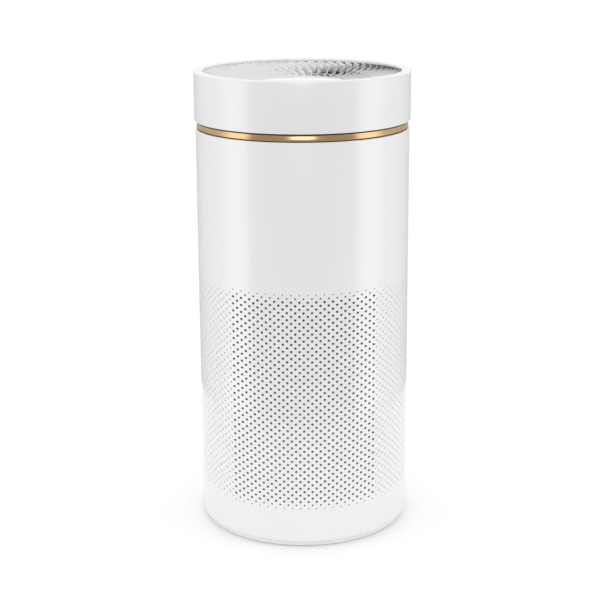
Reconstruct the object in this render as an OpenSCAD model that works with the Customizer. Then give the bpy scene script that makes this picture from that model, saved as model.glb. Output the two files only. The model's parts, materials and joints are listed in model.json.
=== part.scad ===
// Tower air purifier. Air enters all round through the perforated casing, passes inward
// through a cylindrical filter, is lifted by a fan above it and leaves by the louvred top.
// Origin: centre of the footprint on the floor. +Z up, the front faces -Y. Millimetres.

/* [Overall] */
// Height from the floor to the top rim
total_h = 461; // [384:1:553]
// Outside diameter of the casing
body_d = 212; // [177:1:254]
// Wall thickness of the casing
wall = 2.5; // [2:0.1:3.5]
// Corner radius on the visible edges of the shells
edge_r = 1.2; // [0.4:0.1:1.6]

/* [Head and accent ring] */
// How far the head ring stands out beyond the casing
head_step = 1; // [0:0.1:2]
// Height of the head ring
head_h = 48.6; // [44:0.1:60]
// Width of the flat rim round the outlet
rim_w = 9; // [7:0.1:14]
// Thickness of the flat rim
rim_t = 2.5; // [2:0.1:3.5]
// Height of the accent ring
accent_h = 5.5; // [3:0.1:9]
// How far the accent ring is set in from the casing
accent_inset = 1; // [0.5:0.1:1.5]
// Open line above the accent ring
line_above = 1.6; // [0.6:0.1:2.5]
// Open line below the accent ring
line_below = 0.8; // [0.4:0.1:2]

/* [Air intake] */
// Height of the plain wall between the intake band and the casing's top
plain_h = 145.8; // [140:0.1:170]
// Height of the plain skirt below the intake band
skirt_h = 33.6; // [32:0.1:45]
// Width of one intake slot
slot_w = 4.2; // [3:0.1:5]
// Height of one intake slot
slot_h = 11.3; // [8:0.1:14]
// Height from one row of slots to the next
slot_rise = 18; // [16:0.1:24]
// Slots round the casing in one row
slot_count = 38; // [24:1:40]

/* [Base cover] */
// Gap between the floor and the base cover
foot_gap = 1; // [0.6:0.1:3]
// Height of the seam between the base cover and the casing
seam_z = 6.6; // [5.6:0.1:10]
// How far the base cover is set in from the casing
base_inset = 3.4; // [2.6:0.1:3.8]
// Thickness of the base cover's floor and spigot
base_t = 2.2; // [1.8:0.1:3]
// Number of bayonet lugs
lug_count = 4; // [3:1:5]
// Width of each bayonet lug, degrees
lug_angle = 14; // [10:1:16]
// Turn that frees the base cover, degrees
unlock_angle = 20; // [18:1:24]
// Diameter of a rubber foot
foot_d = 16; // [10:1:20]
// Thickness of a rubber foot
foot_t = 2; // [2:0.1:4]
// Length of the finger grip under the base cover
grip_l = 84; // [70:1:90]
// Width of the finger grip
grip_w = 46; // [40:1:60]
// Depth of the finger grip
grip_depth = 15; // [12:0.5:16]
// Width of the bar across the finger grip
grip_bar_w = 9; // [7:0.5:12]

/* [Filter] */
// Gap all round between the filter and the casing
filter_gap = 9.5; // [9.5:0.1:11]
// Depth of the pleated media
media_t = 27; // [20:0.5:28]
// Thickness of the carbon layer
carbon_t = 8; // [5:0.5:9]
// Thickness of the fabric pre-filter
prefilter_t = 0.8; // [0.5:0.1:1.5]
// Number of pleats
pleat_count = 72; // [48:1:84]
// Thickness of each filter end cap
cap_t = 5; // [4:0.5:8]
// Height of the sealing gasket
gasket_h = 4; // [3:0.5:6]

/* [Fan] */
// Thickness of the deck that carries the fan
deck_t = 3; // [2.5:0.1:4]
// Space beside the duct for the power board
board_bay = 21.5; // [19:0.5:23]
// Wall thickness of the duct
duct_t = 2; // [1.6:0.1:2.5]
// Gap between the impeller and the duct wall
impeller_gap = 8; // [6:0.5:9]
// Height of the impeller
impeller_h = 51; // [44:1:54]
// Radial length of the impeller's blades
blade_l = 20; // [16:0.5:21]
// Thickness of the impeller's blades and plates
blade_t = 1.8; // [1.4:0.1:2.4]
// Number of impeller blades
blade_count = 11; // [7:1:15]
// Number of guide vanes
vane_count = 11; // [7:1:15]
// Height of the guide vanes
vane_h = 38; // [30:1:42]
// Diameter of the motor
motor_d = 58; // [52:1:60]
// Height of the motor
motor_h = 34; // [30:1:36]
// Diameter of the motor shaft
shaft_d = 6; // [5:0.5:8]

/* [Outlet and panel] */
// Diameter of the control panel
panel_d = 77.6; // [70:0.1:84]
// Radial length of the inner louvres
inner_louvre_l = 26; // [20:0.5:28]
// Depth of the dish from the rim to the panel
dish_depth = 9.5; // [6:0.1:12]
// Number of outer louvres
outer_louvres = 60; // [40:1:66]
// Number of inner louvres
inner_louvres = 42; // [30:1:48]
// Thickness of one louvre
louvre_t = 1.2; // [1:0.1:1.8]
// Height of one louvre
louvre_h = 9; // [6:0.5:12]
// Width of the rings that join the louvres
louvre_ring_w = 1.6; // [1.2:0.1:2.4]

/* [Power inlet] */
// Height of the inlet above the deck
inlet_rise = 16; // [15:1:20]
// Width of the inlet's opening
inlet_w = 14; // [13:0.5:18]
// Height of the inlet's opening
inlet_h = 8; // [7:0.5:10]
// Depth of the inlet's opening
inlet_depth = 8; // [7:0.5:9]
// Distance between the inlet's two pins
inlet_pin_pitch = 8.6; // [8.2:0.1:9]
// Diameter of the inlet's pins
inlet_pin_d = 2.4; // [2:0.1:2.6]

/* [Fits] */
// Side clearance between pieces that are put together by hand
fit_gap = 0.3; // [0.2:0.05:0.35]
// Radial clearance of the shaft in its bearings
shaft_play = 0.03; // [0.02:0.01:0.08]
// Diameter of the screws
screw_d = 3; // [2.5:0.1:3]

/* [Hidden] */
$fn = 96;
over = 0.05;       // overlap that joins or clears two solids
small_fn = 32;     // facets of small round pieces

// Radii of the shells
body_r = body_d / 2;
body_in_r = body_r - wall;
head_r = body_r + head_step;
head_in_r = body_in_r;
rim_in_r = head_r - rim_w;
accent_r = body_r - accent_inset;
joint_r = body_in_r - fit_gap;
joint_t = 2.6;
joint_in_r = joint_r - joint_t;
shelf_t = 2.5;
snap_depth = 0.8;  // reach of the beads that the head ring snaps over
snap_h = 2;
snap_rise = 9;     // height of those beads above the head ring's lower edge

// Screws that hold the shells, the deck and the duct
screw_count = 4;
deck_screw_angle = 45;
joint_screw_angle = 22.5;
head_w = 1.8 * screw_d;
screw_head_h = 0.6 * screw_d;
thread_gap = 0.2;
boss_r = 3.5;
boss_h = 12;
deck_screw_r = body_in_r - boss_r + 0.4;

// Heights of the shells
head_z = total_h - head_h;
accent_top_z = head_z - line_above;
accent_z = accent_top_z - accent_h;
casing_top_z = accent_z - line_below;
band_top_z = casing_top_z - plain_h;
band_z = seam_z + skirt_h;
joint_shelf_z = casing_top_z - 8;
slot_rows = floor((band_top_z - band_z - slot_h) / slot_rise) + 1;
slot_pitch = (band_top_z - band_z - slot_h) / (slot_rows - 1);

// Bayonet between the base cover and the casing
lip_t = 2.5;
lip_w = 5;
lip_z = 15;
lip_r = body_in_r - lip_w;
spigot_r = lip_r - fit_gap;
spigot_in_r = spigot_r - base_t;
lug_r = body_in_r - 1;
lug_t = 2.5;
lug_z = lip_z + lip_t + fit_gap;
notch_angle = lug_angle + 5;
spigot_top_z = lug_z + lug_t;
lug_start = 45;
base_r = body_r - base_inset;
cover_top_z = seam_z - fit_gap;
foot_track_r = base_r - foot_d / 2 - 6;

// Interlock under the filter, at the left rear
switch_angle = 120;
plunger_r = 1.5;
plunger_l = 6.5;
plunger_free_l = 3.5;
plunger_drop = 1.5;
cam_h = 2;
cam_w = 4;
cam_top_z = spigot_top_z + cam_h;
plunger_z = cam_top_z + fit_gap;
switch_z = plunger_z + plunger_free_l;
switch_h = 9.5;
switch_w = 12;
switch_centre_r = (spigot_r + spigot_in_r) / 2;
switch_back_r = switch_centre_r + 4.2;
switch_wall = 0.8;

// Filter
filter_z = cam_top_z + 1;
filter_r = body_in_r - filter_gap;
filter_cap_r = filter_r + 0.5;
filter_grip_h = 15;   // depth of the finger recess under the filter
filter_bore_r = filter_r - prefilter_t - media_t - carbon_t;
deck_z = band_top_z + 4;
filter_top_z = deck_z - gasket_h;

// Deck and duct
deck_top_z = deck_z + deck_t;
ledge_w = 4;
ledge_t = 3;
duct_r = body_in_r - board_bay;
duct_in_r = duct_r - duct_t;
impeller_r = duct_in_r - impeller_gap;
eye_r = impeller_r - blade_l;
inlet_lip_h = 4;
guard_t = 1.4;
duct_foot_w = 7;
duct_foot_t = 2.5;
duct_screw_r = duct_r + duct_foot_w / 2;
impeller_z = deck_top_z + 6;
impeller_top_z = impeller_z + impeller_h;
motor_r = motor_d / 2;
shaft_r = shaft_d / 2;
cup_floor_t = 2.5;
cup_z = impeller_top_z + 6;
cup_r = motor_r + 4;
cup_t = 2;
pad_t = 2;
motor_z = cup_z + cup_floor_t + pad_t;
motor_top_z = motor_z + motor_h;
vane_z = cup_z;
vane_top_z = vane_z + vane_h;
vane_ring_t = 1.6;
motor_t = 2;
motor_screw_r = motor_r - 12;
bearing_r = shaft_r + 5;
bearing_h = 5;
rotor_r = motor_r - motor_t - 10;
core_z = motor_z + bearing_h + 3;
core_top_z = motor_top_z - bearing_h - 3;
duct_cone_z = vane_top_z + 1;

// Outlet grille
panel_r = panel_d / 2;
hub_r = panel_r + fit_gap + louvre_ring_w;
mid_r = hub_r + inner_louvre_l;
grille_r = rim_in_r - fit_gap;
rim_z = total_h - rim_t;
grille_top_z = total_h - 1;
panel_top_z = total_h - dish_depth;
panel_t = 2.5;
grille_flange_w = 4;
grille_flange_t = 2;
grille_flange_z = rim_z - grille_flange_t;
duct_top_z = grille_flange_z - 7;
duct_top_r = rim_in_r - 3;
hub_cup_z = panel_top_z - 20;
hub_floor_t = 2;
inner_sweep = 7;      // degrees a louvre turns on its way out
outer_sweep = 14;
control_screw_r = 24;
control_board_z = hub_cup_z + 7;
light_guide_z = control_board_z + 3.5;
panel_lead_y = -8;

// Power section at the back of the duct
lead_d = 2.4;
lead_sides = 8;
lead_slot_z = motor_top_z + 12;
lead_track_r = filter_r + 4;
inlet_z = deck_top_z + inlet_rise;
inlet_wall = 2;
inlet_flange = 2;
inlet_flange_t = 1.5;
board_y = body_in_r - 8;
board_t = 1.6;
board_w = 52;
board_h = 52;
board_z = inlet_z + 14;
bracket_w = 44;
bracket_t = 1.6;
board_post_h = 2;
board_post_x = 18;
board_post_z = 6;
inlet_back_y = body_r - inlet_depth - inlet_wall;

// Colours
shell_white = "#f1f0ed";
inner_white = "#dcdbd7";
accent_gold = "#b9935a";
dark_grey = "#3a3a3b";
soft_black = "#1f1f20";
steel = "#b8bbc0";
board_green = "#2d6a45";
copper = "#b56a3a";
filter_white = "#e8e6df";
carbon_black = "#2a2a2c";

// ---------- shared shapes ----------

// Plain round plate
module plate(r, z0, z1) translate([0, 0, z0]) cylinder(r = r, h = z1 - z0);

// Round wall
module tube(r_out, r_in, z0, z1) difference() {
  plate(r_out, z0, z1);
  plate(r_in, z0 - over, z1 + over);
}

// Children repeated round the axis
module around(count, r = 0, start = 0)
  for (i = [0 : count - 1])
    rotate([0, 0, start + i * 360 / count]) translate([r, 0, 0]) children();

// Wedge of a turn, centred on +X, that reaches past every wall
module wedge(angle, z0, z1)
  translate([0, 0, z0]) linear_extrude(z1 - z0)
    polygon([[0, 0],
             [2 * body_r, -2 * body_r * tan(angle / 2)],
             [2 * body_r, 2 * body_r * tan(angle / 2)]]);

// Part of a round wall, centred on +X
module arc_block(r_out, r_in, angle, z0, z1) intersection() {
  tube(r_out, r_in, z0, z1);
  wedge(angle, z0, z1);
}

// Pan-head screw with its head downwards at the origin and its shank along +Z
module screw(length) {
  cylinder(d = head_w, h = screw_head_h, $fn = small_fn);
  translate([0, 0, 0.5 * screw_d]) cylinder(d = screw_d, h = length, $fn = small_fn);
}

// Screw with its head on top, seated on height z, its shank pointing down
module screw_down(z, length)
  translate([0, 0, z + screw_head_h]) mirror([0, 0, 1]) screw(length);

// Hole that a screw passes or grips without touching
module screw_hole(z0, z1)
  translate([0, 0, z0]) cylinder(d = screw_d + thread_gap, h = z1 - z0, $fn = small_fn);

// Wire swept along a few points, mitred at each bend
function unit(v) = v / norm(v);
function lead_direction(points, i) = unit(
  (i > 0 ? unit(points[i] - points[i - 1]) : [0, 0, 0])
  + (i < len(points) - 1 ? unit(points[i + 1] - points[i]) : [0, 0, 0]));
function lead_ring(centre, along, r) =
  let (side = unit(cross(along, [1, 0, 0])), rise = cross(side, along))
  [for (k = [0 : lead_sides - 1])
    centre + r * (cos(k * 360 / lead_sides) * side + sin(k * 360 / lead_sides) * rise)];

module lead(points) {
  n = lead_sides;
  last = len(points) - 1;
  rings = [for (i = [0 : last]) each lead_ring(points[i], lead_direction(points, i), lead_d / 2)];
  sides = [for (i = [0 : last - 1], k = [0 : n - 1])
    [i * n + k, i * n + (k + 1) % n, (i + 1) * n + (k + 1) % n, (i + 1) * n + k]];
  start = [for (k = [n - 1 : -1 : 0]) k];
  end = [for (k = [0 : n - 1]) last * n + k];
  polyhedron(rings, concat([start, end], sides));
}

// Outline of one curved blade: it leaves radius r0 at angle 0 and sweeps round as it goes out
function blade_point(r, r0, r1, sweep, side, t) =
  let (share = (r - r0) / (r1 - r0), turn = sweep * share * share)
  r * [cos(turn), sin(turn)] + side * t / 2 * [-sin(turn), cos(turn)];

module blade_outline(r0, r1, sweep, t, steps = 6)
  polygon(concat(
    [for (i = [0 : steps]) blade_point(r0 + (r1 - r0) * i / steps, r0, r1, sweep, 1, t)],
    [for (i = [steps : -1 : 0]) blade_point(r0 + (r1 - r0) * i / steps, r0, r1, sweep, -1, t)]));

// ---------- shells ----------

module outer_casing() color(shell_white) difference() {
  union() {
    rotate_extrude() polygon([
      [body_in_r, seam_z], [body_r - edge_r / 2, seam_z], [body_r, seam_z + edge_r / 2],
      [body_r, casing_top_z - edge_r / 2], [body_r - edge_r / 2, casing_top_z],
      [body_in_r, casing_top_z]]);
    tube(body_in_r + over, lip_r, lip_z, lip_z + lip_t);
    tube(body_in_r + over, body_in_r - ledge_w, deck_z - ledge_t, deck_z);
    intersection() {
      plate(body_in_r + over, deck_z - boss_h, casing_top_z);
      union() {
        at_deck_screws(deck_screw_r) boss(boss_r, deck_z - boss_h, deck_z - 1);
        at_joint_screws() boss(boss_r, joint_shelf_z - boss_h, joint_shelf_z);
      }
    }
  }
  around(lug_count, 0, lug_start - unlock_angle)
    arc_block(body_in_r, lip_r - 1, notch_angle, lip_z - over, lip_z + lip_t + over);
  at_deck_screws(deck_screw_r) screw_hole(deck_z - boss_h + 1, deck_z + over);
  at_joint_screws() screw_hole(joint_shelf_z - boss_h + 1, joint_shelf_z + over);
  intake_slots();
  translate([0, body_r - wall / 2, inlet_z])
    cube([inlet_w + 2 * inlet_wall + fit_gap, 3 * wall, inlet_h + 2 * inlet_wall + fit_gap],
         center = true);
}

// Places of the screws that hold the deck, the duct's feet and the joining ring
module at_deck_screws(r) around(screw_count, r, deck_screw_angle) children();
module at_joint_screws() around(screw_count, deck_screw_r, joint_screw_angle) children();

// Round post that a screw goes into
module boss(r, z0, z1) translate([0, 0, z0]) cylinder(r = r, h = z1 - z0, $fn = small_fn);

// Rows of slots, every other row turned by half a pitch
module intake_slots()
  for (row = [0 : slot_rows - 1])
    around(slot_count, body_r - 2 * wall, 90 + (row % 2) * 180 / slot_count)
      translate([0, -slot_w / 2, band_z + row * slot_pitch]) cube([4 * wall, slot_w, slot_h]);

module joining_ring() color(dark_grey) difference() {
  union() {
    tube(joint_r, joint_in_r, joint_shelf_z, head_z + 14);
    tube(joint_r, deck_screw_r - boss_r, joint_shelf_z, joint_shelf_z + shelf_t);
    around(6) arc_block(head_in_r + snap_depth, joint_in_r, 8, head_z + snap_rise,
                        head_z + snap_rise + snap_h);
  }
  at_joint_screws() screw_hole(joint_shelf_z - over, joint_shelf_z + shelf_t + over);
  at_joint_screws() boss(head_w / 2 + fit_gap, joint_shelf_z + shelf_t,
                         joint_shelf_z + shelf_t + screw_head_h + fit_gap);
}

module joining_screws() color(steel)
  at_joint_screws() screw_down(joint_shelf_z + shelf_t, 8);

module accent_ring() color(accent_gold)
  rotate_extrude() polygon([
    [joint_r + fit_gap / 2, accent_z], [accent_r - 0.3, accent_z], [accent_r, accent_z + 0.3],
    [accent_r, accent_top_z - 0.3], [accent_r - 0.3, accent_top_z],
    [joint_r + fit_gap / 2, accent_top_z]]);

module head_ring() color(shell_white) difference() {
  rotate_extrude() difference() {
    union() {
      translate([0, head_z]) square([head_r, head_h - edge_r]);
      square_top = total_h - edge_r;
      translate([0, square_top - over]) square([head_r - edge_r, edge_r + over]);
      translate([head_r - edge_r, square_top]) circle(r = edge_r, $fn = small_fn);
    }
    translate([-1, head_z - 1]) square([head_in_r + 1, head_h - rim_t + 1]);
    translate([-1, rim_z - 1]) square([rim_in_r + 1, rim_t + 2]);
  }
  tube(head_in_r + snap_depth + 0.4, head_in_r - 1, head_z + snap_rise - 0.6,
       head_z + snap_rise + snap_h + 0.6);
}

// ---------- outlet ----------

// Height of the dish at radius r, falling from the rim to the hub
function dish_z(r) = grille_top_z - (dish_depth - 1.5) * (grille_r - r) / (grille_r - hub_r);

// Ring whose top follows the dish
module dish_ring(r_out, r_in, depth)
  rotate_extrude() polygon([[r_in, dish_z(r_in)], [r_in, dish_z(r_in) - depth],
                            [r_out, dish_z(r_in) - depth], [r_out, dish_z(r_out)]]);

// Ring of curved louvres between two rings, cut to the slope of the dish
module louvre_ring(count, r0, r1, sweep) intersection() {
  translate([0, 0, hub_cup_z]) linear_extrude(total_h - hub_cup_z)
    for (i = [0 : count - 1]) rotate(i * 360 / count) blade_outline(r0, r1, sweep, louvre_t);
  rotate_extrude() polygon([[r0, dish_z(r0) - louvre_h], [r1, dish_z(r1) - louvre_h],
                            [r1, dish_z(r1) - 0.4], [r0, dish_z(r0) - 0.4]]);
}

module outlet_grille() color(shell_white) difference() {
  union() {
    tube(grille_r, grille_r - louvre_ring_w, grille_top_z - louvre_h, grille_top_z);
    tube(grille_r + grille_flange_w, grille_r - louvre_ring_w / 2, grille_flange_z,
         grille_flange_z + grille_flange_t - fit_gap);
    dish_ring(mid_r + louvre_ring_w, mid_r, louvre_h);
    louvre_ring(inner_louvres, hub_r - over, mid_r + over, inner_sweep);
    louvre_ring(outer_louvres, mid_r + louvre_ring_w - over, grille_r - louvre_ring_w + over,
                outer_sweep);
    tube(hub_r, hub_r - louvre_ring_w, hub_cup_z, dish_z(hub_r));
    plate(hub_r, hub_cup_z, hub_cup_z + hub_floor_t);
    at_control_screws() boss(3, hub_cup_z, control_board_z);
  }
  at_control_screws() screw_hole(hub_cup_z + 1.5, control_board_z + over);
  translate([0, panel_lead_y, 0]) boss(3, hub_cup_z - over, hub_cup_z + hub_floor_t + over);
}

module at_control_screws() around(3, control_screw_r, 90) children();

module touch_panel() color("white")
  rotate_extrude() polygon([[0, panel_top_z - panel_t], [panel_r, panel_top_z - panel_t],
    [panel_r, panel_top_z - 0.8], [panel_r - 0.8, panel_top_z - 0.2],
    [0.7 * panel_r, panel_top_z], [0, panel_top_z]]);

module light_guide() color("#e9eef2") difference() {
  plate(panel_r - 1.5, light_guide_z, panel_top_z - panel_t);
  around(8, 0.6 * panel_r) boss(5, light_guide_z - over, panel_top_z);
  plate(10, light_guide_z - over, panel_top_z);
}

module control_board() color(board_green) difference() {
  union() {
    plate(panel_r - 2.5, control_board_z, control_board_z + board_t);
    translate([-5, -3, control_board_z]) cube([10, 6, board_t + 1.2]);
  }
  at_control_screws() screw_hole(control_board_z - over, control_board_z + board_t + over);
}

module control_board_screws() color(steel)
  at_control_screws() screw_down(control_board_z + board_t, 4.5);

// ---------- deck, duct and fan ----------

module filter_deck() color(inner_white) difference() {
  union() {
    plate(body_in_r - fit_gap, deck_z, deck_top_z);
    plate(eye_r + 4, deck_z, deck_top_z + inlet_lip_h);
  }
  plate(eye_r - 1, deck_z - over, deck_top_z + inlet_lip_h + over);
  translate([0, 0, deck_top_z]) cylinder(r1 = eye_r - 1, r2 = eye_r + 2, h = inlet_lip_h + over);
  plate(eye_r + 4, deck_z - over, deck_z + guard_t + 0.1);
  at_deck_screws(deck_screw_r) screw_hole(deck_z - over, deck_top_z + over);
  at_deck_screws(duct_screw_r) screw_hole(deck_z - over, deck_top_z + over);
  rotate([0, 0, switch_angle]) translate([lead_track_r, 0, 0])
    boss(lead_d, deck_z - over, deck_top_z + over);
}

module deck_screws() color(steel)
  at_deck_screws(deck_screw_r) screw_down(deck_top_z, 9);

module inlet_guard() color(dark_grey) {
  bar = 1.6;
  for (r = [12 : 9 : eye_r]) tube(r + bar / 2, r - bar / 2, deck_z, deck_z + guard_t);
  tube(eye_r + 4 - fit_gap, eye_r, deck_z, deck_z + guard_t);
  around(6) translate([11.5, -bar / 2, deck_z]) cube([eye_r - 10, bar, guard_t]);
}

module fan_duct() color(dark_grey) difference() {
  union() {
    tube(duct_r, duct_in_r, deck_top_z, duct_cone_z);
    rotate_extrude() polygon([
      [duct_in_r, duct_cone_z - over], [duct_r, duct_cone_z - over],
      [duct_top_r, duct_top_z], [duct_top_r - duct_t, duct_top_z]]);
    tube(duct_in_r + over, duct_in_r - 1.5, vane_z - 2, vane_z - fit_gap);
    at_deck_screws(0) arc_block(duct_r + duct_foot_w, duct_r - over, 14, deck_top_z,
                                deck_top_z + duct_foot_t);
  }
  at_deck_screws(duct_screw_r) screw_hole(deck_top_z - over, deck_top_z + duct_foot_t + over);
  translate([0, duct_r, lead_slot_z]) cube([16, 40, 8], center = true);
}

module duct_screws() color(steel)
  at_deck_screws(duct_screw_r) screw_down(deck_top_z + duct_foot_t, duct_foot_t + deck_t);

module guide_vanes() color(dark_grey) difference() {
  union() {
    tube(duct_in_r - fit_gap, duct_in_r - fit_gap - vane_ring_t, vane_z, vane_top_z);
    tube(cup_r, cup_r - cup_t, cup_z, vane_top_z);
    plate(cup_r, cup_z, cup_z + cup_floor_t);
    translate([0, 0, vane_z]) linear_extrude(vane_h) intersection() {
      for (i = [0 : vane_count - 1]) rotate(i * 360 / vane_count)
        blade_outline(cup_r - cup_t / 2, duct_in_r - 1, -24, 1.8);
      circle(r = duct_in_r - fit_gap - vane_ring_t / 2);
    }
  }
  plate(shaft_r + 4, cup_z - over, cup_z + cup_floor_t + over);
  at_motor_screws() screw_hole(cup_z - over, cup_z + cup_floor_t + over);
}

module motor_pad() color(soft_black) difference() {
  tube(motor_r - 2, shaft_r + 4, cup_z + cup_floor_t, motor_z);
  at_motor_screws() screw_hole(motor_z - pad_t - over, motor_z + over);
}

module at_motor_screws() around(4, motor_screw_r) children();

module motor_case() color(steel) difference() {
  union() {
    tube(motor_r, motor_r - motor_t, motor_z, motor_top_z - motor_t);
    plate(motor_r, motor_z, motor_z + motor_t);
    plate(bearing_r + 1.5, motor_z, motor_z + bearing_h + 1);
  }
  plate(bearing_r, motor_z + 1, motor_top_z);
  plate(shaft_r + 1, motor_z - over, motor_z + 2);
  at_motor_screws() screw_hole(motor_z - over, motor_z + motor_t + over);
}

module motor_screws() color(steel)
  at_motor_screws() translate([0, 0, cup_z - screw_head_h])
    screw(cup_floor_t + pad_t + motor_t + 1);

module motor_end_cap() color(steel) difference() {
  union() {
    plate(motor_r, motor_top_z - motor_t, motor_top_z);
    plate(bearing_r + 1.5, motor_top_z - bearing_h - 1, motor_top_z);
  }
  plate(bearing_r, motor_top_z - bearing_h - 1 - over, motor_top_z - 1);
  plate(shaft_r + 1, motor_top_z - 2, motor_top_z + over);
}

module lower_bearing() color(steel)
  tube(bearing_r, shaft_r + shaft_play, motor_z + 1, motor_z + 1 + bearing_h);

module upper_bearing() color(steel)
  tube(bearing_r, shaft_r + shaft_play, motor_top_z - 1 - bearing_h, motor_top_z - 1);

// Slotted core with a coil round each tooth
module motor_stator() color(copper) {
  tube(motor_r - motor_t, motor_r - motor_t - 3, core_z, core_top_z);
  around(9, rotor_r + 0.5) translate([0, -2.5, core_z])
    cube([motor_r - motor_t - rotor_r - 2, 5, core_top_z - core_z]);
}

// ---------- turning pieces ----------

module motor_rotor() color(dark_grey)
  tube(rotor_r - 0.5, shaft_r, core_z + 1, core_top_z - 1);

module motor_shaft() color(steel)
  plate(shaft_r, impeller_z + 8, motor_top_z - 1.5);

module impeller() color(shell_white) {
  hub_r_low = shaft_r + 7;
  cone_h = impeller_h - 20;
  tube(hub_r_low, shaft_r, impeller_z + 12, impeller_top_z);
  tube(impeller_r, shaft_r + 1, impeller_top_z - blade_t, impeller_top_z);
  rotate_extrude() polygon([
    [hub_r_low - over, impeller_top_z - cone_h], [hub_r_low - over, impeller_top_z - blade_t / 2],
    [eye_r - 4, impeller_top_z - blade_t / 2], [eye_r - 14, impeller_top_z - 9],
    [hub_r_low + 4, impeller_top_z - 20]]);
  tube(impeller_r, eye_r, impeller_z, impeller_z + blade_t);
  translate([0, 0, impeller_z + blade_t / 2]) linear_extrude(impeller_h - blade_t)
    for (i = [0 : blade_count - 1]) rotate(i * 360 / blade_count)
      blade_outline(eye_r + 1, impeller_r - 0.5, -22, blade_t);
}

module impeller_nut() color(steel) difference() {
  translate([0, 0, impeller_z + 9]) cylinder(r = shaft_r + 3, h = 3, $fn = 6);
  plate(shaft_r, impeller_z + 9 - over, impeller_z + 12 + over);
}

// ---------- filter ----------

// Zigzag wall folded between two radii
function pleat(r_out, r_in) =
  [for (i = [0 : 2 * pleat_count - 1])
    (i % 2 == 0 ? r_out : r_in) * [cos(i * 180 / pleat_count), sin(i * 180 / pleat_count)]];

module filter_media() color(filter_white) {
  fold = 4.5;
  outer = filter_r - prefilter_t - fit_gap;
  inner = outer - media_t + 2 * fit_gap;
  translate([0, 0, filter_z + cap_t]) linear_extrude(filter_top_z - filter_z - 2 * cap_t)
    difference() {
      polygon(pleat(outer, inner + fold));
      polygon(pleat(outer - fold, inner));
    }
}

module prefilter() color(carbon_black)
  tube(filter_r, filter_r - prefilter_t, filter_z + cap_t, filter_top_z - cap_t);

module carbon_layer() color(carbon_black)
  tube(filter_bore_r + carbon_t - 2 * fit_gap, filter_bore_r, filter_z + cap_t,
       filter_top_z - cap_t);

module filter_top_cap() color(dark_grey)
  tube(filter_cap_r, filter_bore_r, filter_top_z - cap_t, filter_top_z);

module filter_gasket() color(soft_black)
  tube(filter_r - 8, filter_bore_r + 6, filter_top_z, deck_z);

// Closed lower cap with a finger recess and a bar across it
module filter_bottom_cap() color(dark_grey) difference() {
  union() {
    plate(filter_cap_r, filter_z, filter_z + cap_t);
    plate(filter_bore_r - 1, filter_z + cap_t - over, filter_z + filter_grip_h + cap_t);
  }
  difference() {
    plate(filter_bore_r - 4, filter_z - over, filter_z + filter_grip_h + 2);
    translate([-filter_bore_r, -8, filter_z]) cube([2 * filter_bore_r, 16, 6]);
  }
}

// ---------- power and control ----------

// Block centred on x at the back wall, between two depths and two heights
module back_block(w, y0, y1, z0, z1) translate([-w / 2, y0, z0]) cube([w, y1 - y0, z1 - z0]);

module power_inlet() color(soft_black) difference() {
  union() {
    back_block(inlet_w + 2 * inlet_wall, inlet_back_y, body_r, inlet_z - inlet_h / 2 - inlet_wall,
               inlet_z + inlet_h / 2 + inlet_wall);
    back_block(inlet_w + 2 * inlet_wall + 2 * inlet_flange, body_in_r - 0.9 - inlet_flange_t,
               body_in_r - 0.9, inlet_z - inlet_h / 2 - inlet_wall - inlet_flange,
               inlet_z + inlet_h / 2 + inlet_wall + inlet_flange);
  }
  back_block(inlet_w, inlet_back_y + inlet_wall, body_r + over, inlet_z - inlet_h / 2,
             inlet_z + inlet_h / 2);
  for (side = [-1, 1]) inlet_pin_at(side) cylinder(d = inlet_pin_d, h = inlet_depth, $fn = small_fn);
}

// Places a pin's axis along Y, pointing outwards, on one side of the inlet
module inlet_pin_at(side)
  translate([side * inlet_pin_pitch / 2, inlet_back_y - 3, inlet_z]) rotate([-90, 0, 0]) children();

module inlet_pins() color(steel)
  for (side = [-1, 1]) inlet_pin_at(side)
    cylinder(d = inlet_pin_d, h = inlet_depth + inlet_wall, $fn = small_fn);

// Circuit board with a choke, a transformer and two capacitors on it
module power_board() color(board_green) {
  tall = 7;
  difference() {
    back_block(board_w, board_y, board_y + board_t, board_z, board_z + board_h);
    board_posts() board_screw_hole(board_t);
  }
  translate([-14, board_y - tall, board_z + 8]) cube([12, tall + over, 14]);
  translate([2, board_y - tall, board_z + 12]) cube([18, tall + over, 14]);
  for (x = [-14, -4]) translate([x, board_y - tall, board_z + board_h / 2 + 8])
    rotate([-90, 0, 0]) cylinder(r = 4, h = tall + over, $fn = small_fn);
}

module board_bracket() color(inner_white) difference() {
  union() {
    back_block(bracket_w, board_y + board_t + board_post_h,
               board_y + board_t + board_post_h + bracket_t, board_z + 2, board_z + board_h - 2);
    board_posts() boss(3, board_t, board_t + board_post_h + over);
  }
  board_posts() board_screw_hole(board_t + board_post_h + bracket_t);
}

// The four corners where the board is screwed to its bracket, axis along +Y from its front face
module board_posts()
  for (x = [-board_post_x, board_post_x], z = [board_post_z, board_h - board_post_z])
    translate([x, board_y, board_z + z]) rotate([-90, 0, 0]) children();

module board_screw_hole(depth) screw_hole(-over, depth + over);

module board_screws() color(steel)
  board_posts() translate([0, 0, -screw_head_h]) screw(4);

module mains_lead() color(soft_black)
  lead([[4.3, inlet_back_y - 4.5, inlet_z], [4.3, inlet_back_y - 6, inlet_z + 5],
        [4.3, board_y - 1.5, board_z - 2.5]]);

module motor_lead() color(soft_black)
  lead([[-4, board_y - 2, board_z + board_h + 2], [-4, board_y - 2, lead_slot_z],
        [-4, 20, lead_slot_z], [-4, 16, motor_top_z + 1.5]]);

module panel_lead() color(soft_black)
  lead([[4, board_y - 2, board_z + board_h + 2], [4, board_y - 2, lead_slot_z],
        [4, -4, lead_slot_z], [0, panel_lead_y, hub_cup_z - 4],
        [0, panel_lead_y, control_board_z - 0.5]]);

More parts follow.
